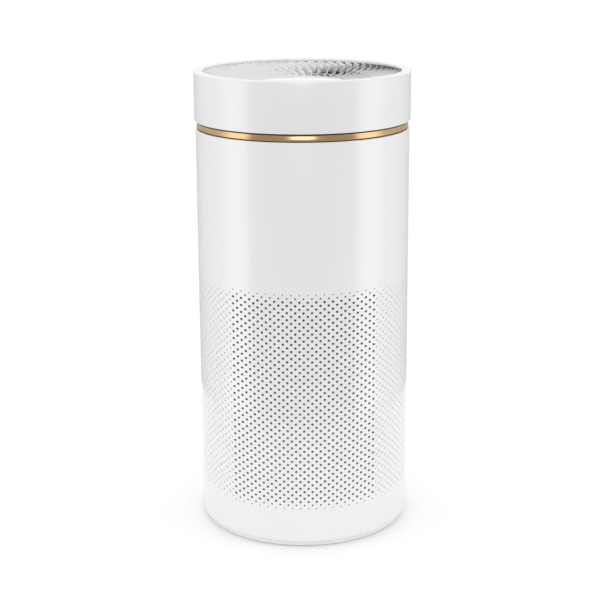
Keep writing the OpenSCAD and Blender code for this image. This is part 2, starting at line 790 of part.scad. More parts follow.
module switch_lead() color(soft_black) {
  x = lead_track_r * cos(switch_angle);
  y = lead_track_r * sin(switch_angle);
  lead([[x, y, switch_z + switch_h + 1], [x, y, deck_top_z + 8],
        [4 - board_w / 2, board_y - 2.5, board_z - 3]]);
}

// Microswitch above the plunger, held by a bracket that stands off the casing's wall
module at_switch() rotate([0, 0, switch_angle]) children();

module interlock_switch() color(soft_black) at_switch() difference() {
  inner_r = switch_centre_r - plunger_r - switch_wall;
  translate([inner_r, -switch_w / 2, switch_z])
    cube([switch_back_r - inner_r, switch_w, switch_h]);
  translate([switch_centre_r, 0, 0])
    boss(plunger_r + fit_gap, switch_z - over, plunger_z + plunger_l + 0.4);
}

module switch_bracket() color(inner_white) at_switch()
  translate([switch_back_r, -switch_w / 2 - 2, switch_z])
    cube([body_in_r - switch_back_r - 0.6, switch_w + 4, switch_h + 2]);

module interlock_plunger() color("#c9462f") at_switch()
  translate([switch_centre_r, 0, plunger_z]) cylinder(r = plunger_r, h = plunger_l, $fn = small_fn);

// ---------- base ----------

module base_cover() color(shell_white) difference() {
  union() {
    rotate_extrude() polygon([
      [0, foot_gap], [base_r - 0.7, foot_gap], [base_r, foot_gap + 0.8], [base_r, cover_top_z],
      [spigot_r, cover_top_z], [spigot_r, spigot_top_z], [spigot_in_r, spigot_top_z],
      [spigot_in_r, foot_gap + base_t], [0, foot_gap + base_t]]);
    around(lug_count, 0, lug_start)
      arc_block(lug_r, (spigot_r + spigot_in_r) / 2, lug_angle, lug_z, spigot_top_z - over);
    interlock_cam();
    grip_block(grip_l + 2 * base_t, grip_w + 2 * base_t, foot_gap + over,
               foot_gap + grip_depth + base_t);
  }
  difference() {
    grip_block(grip_l, grip_w, foot_gap - over, foot_gap + grip_depth);
    grip_block(2 * grip_l, grip_bar_w, foot_gap, foot_gap + 0.6 * grip_depth);
  }
  at_feet() boss((foot_d + fit_gap) / 2, foot_gap - over, foot_t);
}

// Block centred on the axis, between two heights
module grip_block(l, w, z0, z1) translate([-l / 2, -w / 2, z0]) cube([l, w, z1 - z0]);

// Ramp on the spigot that lets the plunger down as the cover turns
module interlock_cam() {
  half = switch_centre_r * sin(unlock_angle / 2);
  flat = 2.5;
  intersection() {
    rotate([0, 0, switch_angle + unlock_angle / 2])
      translate([spigot_r - cam_w, 0, 0]) rotate([90, 0, 90]) linear_extrude(cam_w)
        polygon([[-half - flat, spigot_top_z - 0.5], [half + flat, spigot_top_z - 0.5],
                 [half + flat, cam_top_z - plunger_drop], [half, cam_top_z - plunger_drop],
                 [-half, cam_top_z], [-half - flat, cam_top_z]]);
    plate(spigot_r - 0.2, 0, cam_top_z + 1);
  }
}

module rubber_feet() color(dark_grey)
  at_feet() boss(foot_d / 2, 0, foot_t);

module at_feet() around(4, foot_track_r, 45) children();

outer_casing();
joining_ring();
joining_screws();
accent_ring();
head_ring();
outlet_grille();
touch_panel();
light_guide();
control_board();
control_board_screws();
filter_deck();
deck_screws();
inlet_guard();
fan_duct();
duct_screws();
guide_vanes();
motor_case();
motor_end_cap();
motor_stator();
motor_pad();
motor_screws();
lower_bearing();
upper_bearing();
impeller();
impeller_nut();
motor_shaft();
motor_rotor();
prefilter();
filter_media();
carbon_layer();
filter_top_cap();
filter_bottom_cap();
filter_gasket();
power_inlet();
inlet_pins();
power_board();
board_bracket();
board_screws();
mains_lead();
motor_lead();
panel_lead();
switch_lead();
interlock_switch();
switch_bracket();
interlock_plunger();
base_cover();
rubber_feet();
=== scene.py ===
import json
import math

import bmesh
import bpy
from mathutils import Matrix, Vector


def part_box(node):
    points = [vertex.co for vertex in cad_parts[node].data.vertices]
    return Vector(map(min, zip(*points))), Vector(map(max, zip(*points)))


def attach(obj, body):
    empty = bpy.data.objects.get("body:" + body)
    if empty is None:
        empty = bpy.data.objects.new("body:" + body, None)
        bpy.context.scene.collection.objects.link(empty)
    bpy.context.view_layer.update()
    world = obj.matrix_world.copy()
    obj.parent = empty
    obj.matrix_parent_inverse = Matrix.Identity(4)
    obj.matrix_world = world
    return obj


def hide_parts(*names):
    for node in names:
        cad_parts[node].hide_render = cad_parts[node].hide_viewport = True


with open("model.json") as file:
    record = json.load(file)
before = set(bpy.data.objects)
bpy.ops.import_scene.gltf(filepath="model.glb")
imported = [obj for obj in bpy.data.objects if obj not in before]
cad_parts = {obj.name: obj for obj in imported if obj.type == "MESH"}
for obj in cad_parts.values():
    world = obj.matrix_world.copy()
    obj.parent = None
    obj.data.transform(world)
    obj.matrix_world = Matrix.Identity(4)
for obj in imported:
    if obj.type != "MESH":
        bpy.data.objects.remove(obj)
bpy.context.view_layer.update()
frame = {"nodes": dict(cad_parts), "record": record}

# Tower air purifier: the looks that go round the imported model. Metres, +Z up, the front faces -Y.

MM = 0.001
TURN = 2 * math.pi
ROUND_STEPS = 192      # steps of a full turn on the large shells

# ---------- sizes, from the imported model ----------

casing_low, casing_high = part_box("outer_casing")
head_low, head_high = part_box("head_ring")
accent_low, accent_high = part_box("accent_ring")
joint_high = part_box("joining_ring")[1]
grille_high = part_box("outlet_grille")[1]
panel_low, panel_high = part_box("touch_panel")
inlet_low, inlet_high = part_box("power_inlet")

BODY_R = casing_high.x
WALL = 2.5 * MM
BODY_IN_R = BODY_R - WALL
HEAD_R = head_high.x
RIM_W = 9 * MM
RIM_IN_R = HEAD_R - RIM_W
RIM_T = 2.5 * MM
PLAIN_H = 145.8 * MM

# ---------- small helpers for meshes ----------


def new_piece(name, bm, body, slot, material, *replaced, smooth=40):
    """Turns a bmesh into a piece of the object, riding on its body."""
    mesh = bpy.data.meshes.new(name)
    bm.to_mesh(mesh)
    bm.free()
    piece = bpy.data.objects.new(name, mesh)
    bpy.context.scene.collection.objects.link(piece)
    mesh.materials.append(material)
    if smooth is not None:
        mesh.shade_smooth()
        mesh.set_sharp_from_angle(angle=math.radians(smooth))
    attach(piece, body)
    if replaced:
        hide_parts(*replaced)
    return piece


def soften(corners, steps=5):
    """Outline through (radius, height, rounding) corners, with an arc at each rounded one."""
    points = []
    count = len(corners)
    for i, (r, z, rounding) in enumerate(corners):
        here = Vector((r, z))
        if not rounding:
            points.append(here)
            continue
        before = (Vector(corners[i - 1][:2]) - here).normalized()
        after = (Vector(corners[(i + 1) % count][:2]) - here).normalized()
        half = before.angle(after) / 2
        reach = rounding / math.tan(half)
        centre = here + (before + after).normalized() * rounding / math.sin(half)
        start = here + before * reach - centre
        end = here + after * reach - centre
        sweep = start.angle_signed(end)
        for k in range(steps + 1):
            turned = start.copy()
            turned.rotate(Matrix.Rotation(-sweep * k / steps, 2))
            points.append(centre + turned)
    return points


def lathe(corners, steps=ROUND_STEPS, closed=True):
    """Outline spun a full turn about the axis of the tower."""
    bm = bmesh.new()
    verts = [bm.verts.new((p.x, 0, p.y)) for p in soften(corners)]
    pairs = list(zip(verts, verts[1:]))
    if closed:
        pairs.append((verts[-1], verts[0]))
    for a, b in pairs:
        bm.edges.new((a, b))
    bmesh.ops.spin(bm, geom=bm.verts[:] + bm.edges[:], cent=(0, 0, 0), axis=(0, 0, 1),
                   angle=TURN, steps=steps, use_merge=True)
    bmesh.ops.remove_doubles(bm, verts=bm.verts, dist=1e-6)
    bmesh.ops.recalc_face_normals(bm, faces=bm.faces)
    return bm


def copies_round(bm, count, start=0.0):
    """Repeats everything in the bmesh round the axis."""
    bmesh.ops.rotate(bm, verts=bm.verts, cent=(0, 0, 0), matrix=Matrix.Rotation(start, 3, "Z"))
    bmesh.ops.spin(bm, geom=bm.verts[:] + bm.edges[:] + bm.faces[:], cent=(0, 0, 0),
                   axis=(0, 0, 1), angle=TURN * (count - 1) / count, steps=count - 1,
                   use_duplicate=True)


def merge_in(target, source):
    """Adds one bmesh to another and frees it."""
    mesh = bpy.data.meshes.new("merge")
    source.to_mesh(mesh)
    source.free()
    target.from_mesh(mesh)
    bpy.data.meshes.remove(mesh)


# ---------- materials ----------


def material(name, base, roughness, metallic=0.0, coat=0.0, coat_roughness=0.1, ior=1.5):
    """Principled surface with its plain values on its own sockets."""
    made = bpy.data.materials.new(name)
    made.use_nodes = True
    shader = made.node_tree.nodes["Principled BSDF"]
    shader.inputs["Base Color"].default_value = (*base, 1)
    shader.inputs["Roughness"].default_value = roughness
    shader.inputs["Metallic"].default_value = metallic
    shader.inputs["Coat Weight"].default_value = coat
    shader.inputs["Coat Roughness"].default_value = coat_roughness
    shader.inputs["IOR"].default_value = ior
    return made


def object_coordinates(made, scale=(1, 1, 1)):
    """The piece's own coordinates, stretched."""
    nodes, links = made.node_tree.nodes, made.node_tree.links
    where = nodes.new("ShaderNodeTexCoord")
    mapping = nodes.new("ShaderNodeMapping")
    mapping.inputs["Scale"].default_value = scale
    links.new(where.outputs["Object"], mapping.inputs["Vector"])
    return mapping.outputs["Vector"]


def noise(made, vector, scale, detail=3.0, roughness=0.5):
    node = made.node_tree.nodes.new("ShaderNodeTexNoise")
    node.inputs["Scale"].default_value = scale
    node.inputs["Detail"].default_value = detail
    node.inputs["Roughness"].default_value = roughness
    made.node_tree.links.new(vector, node.inputs["Vector"])
    return node.outputs["Fac"]


def vary(made, factor, socket, low, high):
    """Runs a value from low to high with the factor."""
    node = made.node_tree.nodes.new("ShaderNodeMapRange")
    node.inputs["From Min"].default_value = 0.3
    node.inputs["From Max"].default_value = 0.7
    node.inputs["To Min"].default_value = low
    node.inputs["To Max"].default_value = high
    made.node_tree.links.new(factor, node.inputs["Value"])
    shader = made.node_tree.nodes["Principled BSDF"]
    made.node_tree.links.new(node.outputs["Result"], shader.inputs[socket])


def tint(made, factor, dark, light):
    """Runs the base colour between two close tones."""
    node = made.node_tree.nodes.new("ShaderNodeMix")
    node.data_type = "RGBA"
    node.inputs["A"].default_value = (*dark, 1)
    node.inputs["B"].default_value = (*light, 1)
    made.node_tree.links.new(factor, node.inputs["Factor"])
    shader = made.node_tree.nodes["Principled BSDF"]
    made.node_tree.links.new(node.outputs["Result"], shader.inputs["Base Color"])


def bump(made, height, strength, distance):
    """Turns a height into surface relief."""
    node = made.node_tree.nodes.new("ShaderNodeBump")
    node.inputs["Strength"].default_value = strength
    node.inputs["Distance"].default_value = distance
    made.node_tree.links.new(height, node.inputs["Height"])
    shader = made.node_tree.nodes["Principled BSDF"]
    made.node_tree.links.new(node.outputs["Normal"], shader.inputs["Normal"])


def moulded(name, dark, light, rough_low, rough_high, grain, depth, **finish):
    """Moulded plastic: slight tone drift, uneven gloss and a fine surface grain."""
    made = material(name, light, rough_high, **finish)
    place = object_coordinates(made)
    drift = noise(made, place, 9, 2)
    tint(made, drift, dark, light)
    vary(made, noise(made, place, 60, 4), "Roughness", rough_low, rough_high)
    bump(made, noise(made, place, grain, 3), 0.25, depth)
    return made


def shell_white():
    """The gloss white of the casing, head, louvres and base."""
    return moulded("shell white", (0.776, 0.776, 0.775), (0.784, 0.784, 0.783), 0.3, 0.33, 900,
                   0.00001, coat=1.0, coat_roughness=0.09)


def panel_gloss():
    return moulded("panel gloss", (0.85, 0.875, 0.91), (0.87, 0.895, 0.93), 0.05, 0.08, 300,
                   0.000004, coat=1.0, coat_roughness=0.03)


# Near-black plastic. On the mains inlet it is the part's own colour; on the pieces under the outlet
# louvres it is painted shade that darkens the gaps between the louvres.
def dark_plastic():
    return moulded("dark plastic and painted shade", (0.024, 0.024, 0.024), (0.03, 0.03, 0.03), 0.42, 0.58, 1600,
                   0.00003)


def brushed(name, dark, light, rough_low, rough_high, stretch, depth=0.00001):
    """Metal with fine lines; the stretch sets which way they run."""
    made = material(name, light, rough_high, metallic=1.0)
    lines = noise(made, object_coordinates(made, stretch), 1, 2)
    tint(made, lines, dark, light)
    vary(made, lines, "Roughness", rough_low, rough_high)
    bump(made, lines, 0.15, depth)
    return made


def cellular(name, dark, light, roughness, scale, depth):
    """Cloth, foam or granules: small cells, with painted shade darkening the hollows between them and
    painted light on their raised tops.
    """
    made = material(name, light, roughness)
    nodes, links = made.node_tree.nodes, made.node_tree.links
    cells = nodes.new("ShaderNodeTexVoronoi")
    cells.inputs["Scale"].default_value = scale
    links.new(object_coordinates(made), cells.inputs["Vector"])
    # painted shade and light: the tone follows the cells that shape the relief, darker in the hollows
    # and lighter on the tops
    tint(made, cells.outputs["Distance"], dark, light)
    bump(made, cells.outputs["Distance"], 0.6, depth)
    return made


def circuit_board_green():
    """Solder mask with paler copper tracks under it."""
    made = material("circuit board", (0.02, 0.15, 0.07), 0.35)
    nodes, links = made.node_tree.nodes, made.node_tree.links
    tracks = nodes.new("ShaderNodeTexBrick")
    tracks.inputs["Scale"].default_value = 120
    tracks.inputs["Mortar Size"].default_value = 0.06
    links.new(object_coordinates(made), tracks.inputs["Vector"])
    tint(made, tracks.outputs["Fac"], (0.015, 0.12, 0.05), (0.04, 0.24, 0.11))
    vary(made, noise(made, object_coordinates(made), 500, 3), "Roughness", 0.28, 0.45)
    bump(made, tracks.outputs["Fac"], 0.3, 0.00003)
    return made


SHELL = shell_white()
PANEL = panel_gloss()
GOLD = brushed("accent gold", (0.53, 0.36, 0.17), (0.66, 0.46, 0.24), 0.13, 0.22, (6, 6, 9000))
DARK = dark_plastic()
MESH = cellular("pre-filter mesh", (0.005, 0.005, 0.006), (0.026, 0.026, 0.027), 0.85, 900, 0.0002)
RUBBER = moulded("rubber", (0.02, 0.02, 0.02), (0.035, 0.035, 0.035), 0.7, 0.85, 2200, 0.00006)

# Every finish of the pieces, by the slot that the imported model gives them.
FINISHES = {
    "shell_white": SHELL,
    "panel_gloss": PANEL,
    "accent_gold": GOLD,
    # dark_plastic also puts painted shade on the pieces under the outlet louvres
    "dark_plastic": DARK,
    "prefilter_fabric": MESH,
    "rubber": RUBBER,
    "inner_plastic": moulded("inner plastic", (0.56, 0.56, 0.54), (0.62, 0.62, 0.6), 0.45, 0.6,
                             1400, 0.00003),
    "light_guide": moulded("milky light guide", (0.70, 0.74, 0.79), (0.76, 0.80, 0.85), 0.18, 0.3,
                           700, 0.00001),
    "circuit_board": circuit_board_green(),
    "steel": brushed("plated steel", (0.5, 0.51, 0.53), (0.64, 0.65, 0.67), 0.22, 0.4,
                     (700, 700, 2500)),
    "motor_metal": brushed("motor housing metal", (0.42, 0.43, 0.45), (0.55, 0.56, 0.58), 0.35, 0.5,
                           (900, 900, 900), 0.00003),
    "copper_winding": brushed("copper winding", (0.42, 0.16, 0.06), (0.68, 0.31, 0.14), 0.25, 0.4,
                              (60, 60, 3500), 0.0001),
    "magnet": brushed("coated magnet", (0.05, 0.05, 0.055), (0.09, 0.09, 0.1), 0.3, 0.45,
                      (1100, 1100, 1100)),
    "foam": cellular("sealing foam", (0.008, 0.008, 0.008), (0.045, 0.045, 0.045), 0.95, 700, 0.0004),
    "filter_paper": moulded("filter paper", (0.60, 0.59, 0.55), (0.69, 0.68, 0.63), 0.85, 0.95,
                            2600, 0.0001),
    "carbon": cellular("carbon granules", (0.006, 0.006, 0.007), (0.05, 0.05, 0.055), 0.75, 420,
                       0.0008),
    "lead_jacket": moulded("lead jacket", (0.018, 0.018, 0.018), (0.03, 0.03, 0.03), 0.35, 0.5,
                           1800, 0.00002),
    "plunger_red": moulded("plunger red", (0.24, 0.012, 0.008), (0.3, 0.018, 0.012), 0.3, 0.45,
                           1200, 0.00002),
}

# ---------- casing with its round intake holes ----------

HOLE_D = 2.4 * MM
HOLE_SIDES = 16
FRONT_COLUMNS = 35            # hole columns across the front, and as many across the back
FRONT_STEP = 4 * MM           # spacing of those columns, measured straight across
SIDE_COLUMNS = 41             # hole columns on each side
ROWS = 63
ROW_STEP = 3.5 * MM
HALF_COLUMNS = FRONT_COLUMNS + SIDE_COLUMNS
BAND_TOP = casing_high.z - PLAIN_H
HALF_FRONT = math.asin(FRONT_COLUMNS / 2 * FRONT_STEP / BODY_R)
SIDE_STEP = (math.pi - 2 * HALF_FRONT) / SIDE_COLUMNS


def column_turn(column):
    """Turn from the front towards +X of a place counted in columns, 0 in the middle of the front."""
    halves, inside = divmod(column + FRONT_COLUMNS / 2, HALF_COLUMNS)
    across = inside - FRONT_COLUMNS / 2
    if inside <= FRONT_COLUMNS:
        return math.pi * halves + math.asin(across * FRONT_STEP / BODY_R)
    return math.pi * halves + HALF_FRONT + (inside - FRONT_COLUMNS) * SIDE_STEP


def row_height(row):
    return BAND_TOP - (ROWS - 1 - row) * ROW_STEP


def row_hole_radius(row):
    """The holes fade out: the outermost row is the smallest."""
    return HOLE_D / 2 * {0: 0.5, 1: 0.75}.get(min(row, ROWS - 1 - row), 1)


def on_wall(turn, z, radius):
    return Vector((radius * math.sin(turn), -radius * math.cos(turn), z))


def along_pull(turn, offset, z, radius):
    """Where a straight hole's edge meets a wall. The mould pulls the front and back along Y
    and the two sides along X."""
    x, y = BODY_R * math.sin(turn), -BODY_R * math.cos(turn)
    if abs(x) < BODY_R * math.sin(HALF_FRONT):
        x += offset * math.copysign(1, -y)
        y = math.copysign(math.sqrt(radius ** 2 - x ** 2), y)
    else:
        y += offset * math.copysign(1, x)
        x = math.copysign(math.sqrt(radius ** 2 - y ** 2), x)
    return Vector((x, y, z))


def intake_band(first_row, last_row):
    """Rows of holes as brick cells that are inset, rounded, opened and given a wall's thickness."""
    rows = last_row - first_row + 1
    columns = 2 * HALF_COLUMNS
    bm = bmesh.new()
    bmesh.ops.create_grid(bm, x_segments=columns, y_segments=2 * rows, size=0.5)
    column_of = bm.verts.layers.int.new("column")
    half_row_of = bm.verts.layers.int.new("half_row")
    turn_of = bm.verts.layers.float.new("turn")
    offset_of = bm.verts.layers.float.new("offset")
    in_hole = bm.verts.layers.int.new("in_hole")
    for v in bm.verts:
        v[column_of] = round((v.co.x + 0.5) * columns) % columns
        v[half_row_of] = round((v.co.y + 0.5) * 2 * rows)
        v[turn_of] = column_turn(v[column_of])
        v.co = on_wall(v[turn_of], row_height(first_row + (v[half_row_of] - 1) / 2), BODY_R)
    bmesh.ops.remove_doubles(bm, verts=bm.verts, dist=1e-6)
    middles = [v for v in bm.verts if v[half_row_of] % 2
               and (v[column_of] + first_row + v[half_row_of] // 2) % 2]
    bmesh.ops.dissolve_verts(bm, verts=middles)
    bmesh.ops.recalc_face_normals(bm, faces=bm.faces)
    if sum(f.normal.dot(f.calc_center_median().to_2d().to_3d()) for f in list(bm.faces)[:9]) < 0:
        bmesh.ops.reverse_faces(bm, faces=bm.faces)

    cells = list(bm.faces)
    spots = {}
    for f in cells:
        across = [v[column_of] for v in f.verts]
        if max(across) - min(across) > 2:
            across = [c + columns if c < HALF_COLUMNS else c for c in across]
        spots[f] = ((min(across) + max(across)) // 2 % columns,
                    first_row + min(v[half_row_of] for v in f.verts) // 2)
    bmesh.ops.inset_individual(bm, faces=cells, thickness=0.2 * MM)
    bmesh.ops.subdivide_edges(bm, edges=list({e for f in cells for e in f.edges}), cuts=1)
    for f, (column, row) in spots.items():
        turn, z = column_turn(column), row_height(row)
        outward, aside = on_wall(turn, 0, 1), on_wall(turn + math.pi / 2, 0, 1)
        centre = on_wall(turn, z, BODY_R)
        ring = list(f.verts)
        first = max(range(HOLE_SIDES), key=lambda i: (ring[i].co - centre).dot(aside)
                    - abs(ring[i].co.z - z))
        way = 1 if f.normal.dot(outward) > 0 else -1
        for i in range(HOLE_SIDES):
            angle = way * TURN * (i - first) / HOLE_SIDES
            v = ring[i]
            v[turn_of] = turn
            v[offset_of] = row_hole_radius(row) * math.cos(angle)
            v[in_hole] = 1
            v.co = along_pull(turn, v[offset_of], z + row_hole_radius(row) * math.sin(angle), BODY_R)
    bmesh.ops.delete(bm, geom=cells, context="FACES_ONLY")

    grown = bmesh.ops.extrude_face_region(bm, geom=bm.faces[:])
    for v in (g for g in grown["geom"] if isinstance(g, bmesh.types.BMVert)):
        if v[in_hole]:
            v.co = along_pull(v[turn_of], v[offset_of], v.co.z, BODY_IN_R)
        else:
            v.co = on_wall(v[turn_of], v.co.z, BODY_IN_R)
    bmesh.ops.recalc_face_normals(bm, faces=bm.faces)
    return bm


def cut_window(bm, low, high):
    """Opens a wall at the back between two corners and closes the cut edges."""
    for axis, place in ((0, low.x), (0, high.x), (2, low.z), (2, high.z)):
        near = [g for g in bm.verts[:] + bm.edges[:] + bm.faces[:]
                if all(v.co.y > 0 and abs(v.co.x) < 3 * high.x for v in getattr(g, "verts", [g]))]
        point, normal = Vector((0, 0, 0)), Vector((0, 0, 0))
        point[axis], normal[axis] = place, 1
        bmesh.ops.bisect_plane(bm, geom=near, plane_co=point, plane_no=normal, dist=1e-7)
    inside = [f for f in bm.faces if f.calc_center_median().y > 0
              and low.x < f.calc_center_median().x < high.x
              and low.z < f.calc_center_median().z < high.z]
    bmesh.ops.delete(bm, geom=inside, context="FACES")
    rims = [e for e in bm.edges if e.is_boundary]
    bmesh.ops.bridge_loops(bm, edges=rims)
    bmesh.ops.recalc_face_normals(bm, faces=bm.faces)


INLET_FLANGE = 2 * MM         # hidden flange round the inlet, behind the wall
INLET_GAP = 0.15 * MM


def make_casing():
    bands = ((0, 20), (21, 41), (42, ROWS - 1))
    for number, (first, last) in enumerate(bands):
        new_piece(f"intake_band_{number + 1}", intake_band(first, last), "housing", "shell_white",
                  SHELL, smooth=50)
    top, low = row_height(ROWS - 0.5), row_height(-0.5)
    high, seam = casing_high.z, casing_low.z
    wall = lathe([(BODY_R, top, 0), (BODY_R, high, 0.9 * MM), (BODY_IN_R, high, 0.4 * MM),
                  (BODY_IN_R, top, 0)])
    margin = Vector((INLET_FLANGE - INLET_GAP, 0, INLET_FLANGE - INLET_GAP))
    cut_window(wall, inlet_low + margin, inlet_high - margin)
    new_piece("casing_plain_wall", wall, "housing", "shell_white", SHELL, "outer_casing")
    new_piece("casing_skirt", lathe([
        (BODY_R, low, 0), (BODY_IN_R, low, 0), (BODY_IN_R, seam, 0.3 * MM),
        (BODY_R, seam, 0.9 * MM)]), "housing", "shell_white", SHELL)


# ---------- head and accent ring ----------

CROWN = 0.8 * MM              # how far the gold ring draws in towards its top


def make_head():
    """The collar round the outlet, open inside, with a rolled rim."""
    low, high = head_low.z, head_high.z
    new_piece("head_ring_shell", lathe([
        (HEAD_R, low, 0.8 * MM), (HEAD_R, high, 1.4 * MM), (RIM_IN_R, high, 0.8 * MM),
        (RIM_IN_R, high - RIM_T, 0), (BODY_IN_R, high - RIM_T, 0), (BODY_IN_R, low, 0.5 * MM)]),
        "housing", "shell_white", SHELL, "head_ring")


def make_accent():
    """The gold ring, crowned so that its face leans back towards the top."""
    low, high, r = accent_low.z, accent_high.z, accent_high.x
    inner = joint_high.x + 0.15 * MM
    crown = [(r - CROWN * up ** 2, low + (high - low) * (0.1 + 0.9 * up), 0)
             for up in (i / 8 for i in range(9))]
    new_piece("accent_band", lathe([
        (inner, low, 0), (r - 0.5 * MM, low, 0), *crown, (inner, high, 0)]),
        "housing", "accent_gold", GOLD, "accent_ring")


# ---------- outlet ----------

LOUVRES_OUT = 60
LOUVRES_IN = 42
LOUVRE_T = 1.1 * MM
LOUVRE_H = 9 * MM
SWEEP_OUT = math.radians(14)   # how far a louvre turns on its way out
SWEEP_IN = math.radians(7)
LEAN = math.radians(4)        # how far round a louvre's lower edge lies from its top edge
RING_W = 1.6 * MM
PANEL_R = panel_high.x
HUB_R = PANEL_R + 1.9 * MM
MID_R = HUB_R + 26 * MM
GRILLE_R = RIM_IN_R - 0.3 * MM
GRILLE_TOP = grille_high.z
HUB_TOP = panel_high.z - 0.8 * MM
HOOP_DROP = 5.5 * MM          # depth of the thin hoops under the louvres' top edges
HOOP_H = 1.6 * MM
HOOP_ROUND = 0.4 * MM
TOP_DROP = 0.4 * MM           # the louvres' top edges lie this far under the dish
CUP_DEPTH = 20 * MM           # depth of the cup under the panel
CUP_FLOOR = 2 * MM
AXIS_R = 0.001 * MM           # a turned outline starts this close to the axis and is merged shut


def dish_height(radius):
    """The outlet is a shallow dish that falls from the rim to the hub."""
    share = (GRILLE_R - radius) / (GRILLE_R - HUB_R)
    return GRILLE_TOP - (GRILLE_TOP - HUB_TOP) * share


def louvre(r0, r1, sweep, lean):
    """One thin curved vane that sweeps round as it goes out and leans over as it goes down."""
    bm = bmesh.new()
    bmesh.ops.create_grid(bm, x_segments=8, y_segments=3, size=0.5)
    for v in bm.verts:
        out, down = v.co.x + 0.5, 0.5 - v.co.y
        radius = r0 + (r1 - r0) * out
        turn = sweep * out ** 2 + lean * down * MID_R / radius
        height = dish_height(radius) - TOP_DROP - LOUVRE_H * down
        v.co = Vector((radius * math.cos(turn), radius * math.sin(turn), height))
    bmesh.ops.solidify(bm, geom=bm.faces[:], thickness=LOUVRE_T)
    bmesh.ops.recalc_face_normals(bm, faces=bm.faces)
    top = [e for e in bm.edges if e.is_manifold and e.calc_face_angle(0) > 1
           and min(v.co.z - dish_height(v.co.xy.length) for v in e.verts) > -0.8 * MM]
    bmesh.ops.bevel(bm, geom=top, offset=0.35 * MM, segments=2, profile=0.5, affect="EDGES",
                    material=-1, clamp_overlap=True)
    return bm


def hoop(r_in, r_out):
    """Thin hoop that ties the louvres together below their top edges."""
    high = dish_height(r_in) - HOOP_DROP
    return lathe([(r_in, high, HOOP_ROUND), (r_in, high - HOOP_H, HOOP_ROUND),
                  (r_out, high - HOOP_H, HOOP_ROUND), (r_out, high, HOOP_ROUND)])


def make_outlet():
    outer = louvre(MID_R + RING_W / 2, GRILLE_R, SWEEP_OUT, LEAN)
    copies_round(outer, LOUVRES_OUT)
    new_piece("outlet_louvres_outer", outer, "housing", "shell_white", SHELL, "outlet_grille")
    inner = louvre(HUB_R - 0.1 * MM, MID_R + RING_W / 2, SWEEP_IN, LEAN)
    copies_round(inner, LOUVRES_IN)
    new_piece("outlet_louvres_inner", inner, "housing", "shell_white", SHELL)
    rings = hoop(MID_R, MID_R + RING_W)
    merge_in(rings, hoop(GRILLE_R - RING_W, GRILLE_R))
    cup = panel_high.z - CUP_DEPTH
    merge_in(rings, lathe([
        (HUB_R, HUB_TOP - 1 * MM, 0.6 * MM), (HUB_R - RING_W, HUB_TOP - 1 * MM, 0.4 * MM),
        (HUB_R - RING_W, cup + CUP_FLOOR, 0), (AXIS_R, cup + CUP_FLOOR, 0), (AXIS_R, cup, 0),
        (HUB_R, cup, 1 * MM)]))
    new_piece("outlet_rings", rings, "housing", "shell_white", SHELL)


def make_panel():
    """The control disc, a very shallow dome."""
    top, low = panel_high.z, panel_low.z
    dome = lathe([(AXIS_R, top, 0), (0.6 * PANEL_R, top - 0.05 * MM, 0),
                  (PANEL_R, top - 0.5 * MM, 0.7 * MM), (PANEL_R, low, 0), (AXIS_R, low, 0)])
    new_piece("control_panel", dome, "housing", "panel_gloss", PANEL, "touch_panel")


# ---------- base ----------


def softened_copy(name, node, body, slot, finish, width):
    """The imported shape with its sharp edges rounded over."""
    bm = bmesh.new()
    bm.from_mesh(frame["nodes"][node].data)
    bmesh.ops.remove_doubles(bm, verts=bm.verts, dist=1e-6)
    bmesh.ops.dissolve_limit(bm, angle_limit=math.radians(1), verts=bm.verts[:], edges=bm.edges[:])
    sharp = [e for e in bm.edges if e.is_manifold and e.calc_face_angle(0) > math.radians(35)]
    bmesh.ops.bevel(bm, geom=sharp, offset=width, segments=3, profile=0.5, affect="EDGES",
                    material=-1, clamp_overlap=True)
    return new_piece(name, bm, body, slot, finish, node)


def make_base():
    softened_copy("base_lid", "base_cover", "base", "shell_white", SHELL, 0.4 * MM)
    softened_copy("foot_pads", "rubber_feet", "base", "rubber", RUBBER, 0.5 * MM)
    softened_copy("mains_inlet", "power_inlet", "housing", "dark_plastic", DARK, 0.4 * MM)


# ---------- finishes of the pieces inside ----------


def finish_inner_pieces():
    slots = {row["node"]: row["material_slot"] for row in frame["record"]["subparts"]}
    for node, piece in frame["nodes"].items():
        piece.data.materials.clear()
        piece.data.materials.append(FINISHES[slots[node]])


make_casing()
make_head()
make_accent()
make_outlet()
make_panel()
make_base()
finish_inner_pieces()

# ---------- floor, light and camera ----------

FLOOR_R = 0.45
FLOOR_GLOW = 0.08
# Brightness of the studio round the object: (degrees away from the front, brightness).
# A dim front, a tall softbox at each side and a plain back.
STUDIO = ((0, 0.49), (56, 0.53), (64, 1.8), (82, 1.8), (98, 0.9), (140, 0.64), (180, 0.58))
OVERHEAD = 1.05              # brightness straight above
CARD = 3.4                   # extra brightness of the narrow card in front, above eye level
BACK_CARD = 0.42             # extra brightness of the wide card behind, above eye level
BACKDROP = 1.02              # brightness of the plain background
# Where each card fades in: share of a half turn away from the front, and height above eye level.
CARD_TURN = (0.09, 0.04)
CARD_RISE = (0.0, 0.12)
BACK_CARD_TURN = (0.62, 0.8)
BACK_CARD_RISE = (0.0, 0.08)
OVERHEAD_RISE = (0.4, 0.75)

CAMERA_AT = (-0.0016, -1.430, 0.6156)
CAMERA_LENS = 86.9
CAMERA_SHIFT = (-0.011, -0.05)
CAMERA_DOWN = 14.07          # degrees below level
CAMERA_ASIDE = -0.2
CAMERA_ROLL = -0.27


